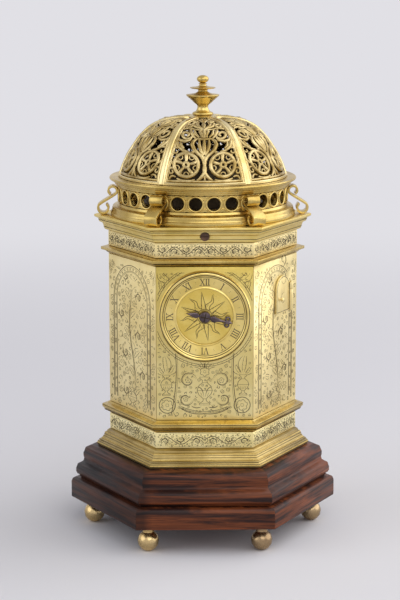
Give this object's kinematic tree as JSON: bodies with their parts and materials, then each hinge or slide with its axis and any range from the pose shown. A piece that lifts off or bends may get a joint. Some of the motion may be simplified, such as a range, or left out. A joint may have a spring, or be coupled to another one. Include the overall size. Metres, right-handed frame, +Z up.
{
  "type": "table clock",
  "caption": "Hexagonal gilt brass table clock: domed pierced lid over a bell, round dial with one hand, key-wound movement, side shutter, moulded wooden plinth on ball feet.",
  "frame": {"origin": "on the clock's axis, on the surface that its feet stand on", "axes": "+Z up along the clock's axis, the dial faces -Y, +X to the right of someone who reads the dial"},
  "size_m": [0.1256, 0.1088, 0.2129],
  "materials": {
    "gilt": "polished gilding",
    "pale_gilt": "polished gilding",
    "engraved_gilt": "engraved and gilt",
    "pierced_gilt": "pierced and gilt",
    "foot_brass": "polished",
    "movement_brass": "satin",
    "bell_metal": "turned",
    "iron": "filed",
    "blued_steel": "blued",
    "wood": "stained and polished"
  },
  "bodies": {
    "case": {"ball_foot_1": "foot_brass", "ball_foot_2": "foot_brass", "ball_foot_3": "foot_brass", "ball_foot_4": "foot_brass", "ball_foot_5": "foot_brass", "ball_foot_6": "foot_brass", "base_moulding": "gilt", "bell": "bell_metal", "bell_nut": "iron", "bell_plate": "movement_brass", "bell_post": "iron", "bottom_plate": "movement_brass", "cornice": "gilt", "cornice_screw": "blued_steel", "dial_ring": "gilt", "dome_flange": "gilt", "dome_panel_1": "pierced_gilt", "dome_panel_2": "pierced_gilt", "dome_panel_3": "pierced_gilt", "dome_panel_4": "pierced_gilt", "dome_panel_5": "pierced_gilt", "dome_panel_6": "pierced_gilt", "dome_ribs": "pale_gilt", "finial": "pale_gilt", "gallery_base": "gilt", "gallery_drum": "gilt", "lower_frieze": "engraved_gilt", "lower_string": "gilt", "movement_back_plate": "movement_brass", "movement_front_plate": "movement_brass", "panel_back": "engraved_gilt", "panel_back_left": "engraved_gilt", "panel_back_right": "engraved_gilt", "panel_front": "engraved_gilt", "panel_front_left": "engraved_gilt", "panel_front_right": "engraved_gilt", "plinth_moulding": "wood", "plinth_slab": "wood", "scroll_bracket_1": "gilt", "scroll_bracket_2": "gilt", "scroll_bracket_3": "gilt", "scroll_bracket_4": "gilt", "scroll_bracket_5": "gilt", "scroll_bracket_6": "gilt", "shutter_hinge_pin": "gilt", "train_bridge": "movement_brass", "upper_frieze": "engraved_gilt", "upper_string": "gilt", "verge_potence": "movement_brass"},
    "hand": {"dial_wheel": "movement_brass", "hour_hand": "blued_steel"},
    "alarm_setting": {"alarm_disc": "engraved_gilt"},
    "barrel": {"mainspring_barrel": "movement_brass"},
    "winding": {"winding_arbor": "iron"},
    "second": {"second_wheel": "movement_brass"},
    "crown": {"crown_wheel": "movement_brass"},
    "balance": {"balance": "iron"},
    "alarm": {"alarm_barrel": "movement_brass"},
    "hammer": {"hammer": "iron"},
    "shutter": {"shutter": "gilt"}
  },
  "joints": [
    {"name": "barrel_turn", "type": "hinge", "parent": "case", "child": "barrel", "pos_m": [0, 0, 0.0933], "axis": [0, -1, 0], "continuous": true},
    {"name": "hand_turn", "type": "hinge", "parent": "case", "child": "hand", "pos_m": [0, 0, 0.1077], "axis": [0, -1, 0], "continuous": true},
    {"name": "second_turn", "type": "hinge", "parent": "case", "child": "second", "pos_m": [0.01559, 0, 0.1023], "axis": [0, -1, 0], "continuous": true},
    {"name": "crown_turn", "type": "hinge", "parent": "case", "child": "crown", "pos_m": [0.01007, 0, 0.11413], "axis": [0, -1, 0], "continuous": true},
    {"name": "alarm_setting_turn", "type": "hinge", "parent": "case", "child": "alarm_setting", "pos_m": [0, -0.0381, 0.1077], "axis": [0, -1, 0], "continuous": true},
    {"name": "winding_turn", "type": "hinge", "parent": "case", "child": "winding", "pos_m": [0, 0, 0.0933], "axis": [0, -1, 0], "continuous": true},
    {"name": "alarm_turn", "type": "hinge", "parent": "case", "child": "alarm", "pos_m": [0, 0, 0.0648], "axis": [0, -1, 0], "continuous": true},
    {"name": "balance_swing", "type": "hinge", "parent": "case", "child": "balance", "pos_m": [0.01007, -0.006, 0.12], "axis": [0, 0, 1], "range_deg": [-40, 40]},
    {"name": "hammer_swing", "type": "hinge", "parent": "case", "child": "hammer", "pos_m": [-0.03275, 0, 0.142], "axis": [0, 0, 1], "range_deg": [-3, 8]},
    {"name": "shutter_hinge", "type": "hinge", "parent": "case", "child": "shutter", "pos_m": [0.04083, -0.0081, 0.111], "axis": [0, 0, 1], "range_deg": [0, 110]}
  ],
  "couplings": [
    {"joint": "hand_turn", "follows": "barrel_turn", "ratio": -0.33333},
    {"joint": "second_turn", "follows": "barrel_turn", "ratio": -4},
    {"joint": "crown_turn", "follows": "barrel_turn", "ratio": 12.571}
  ]
}
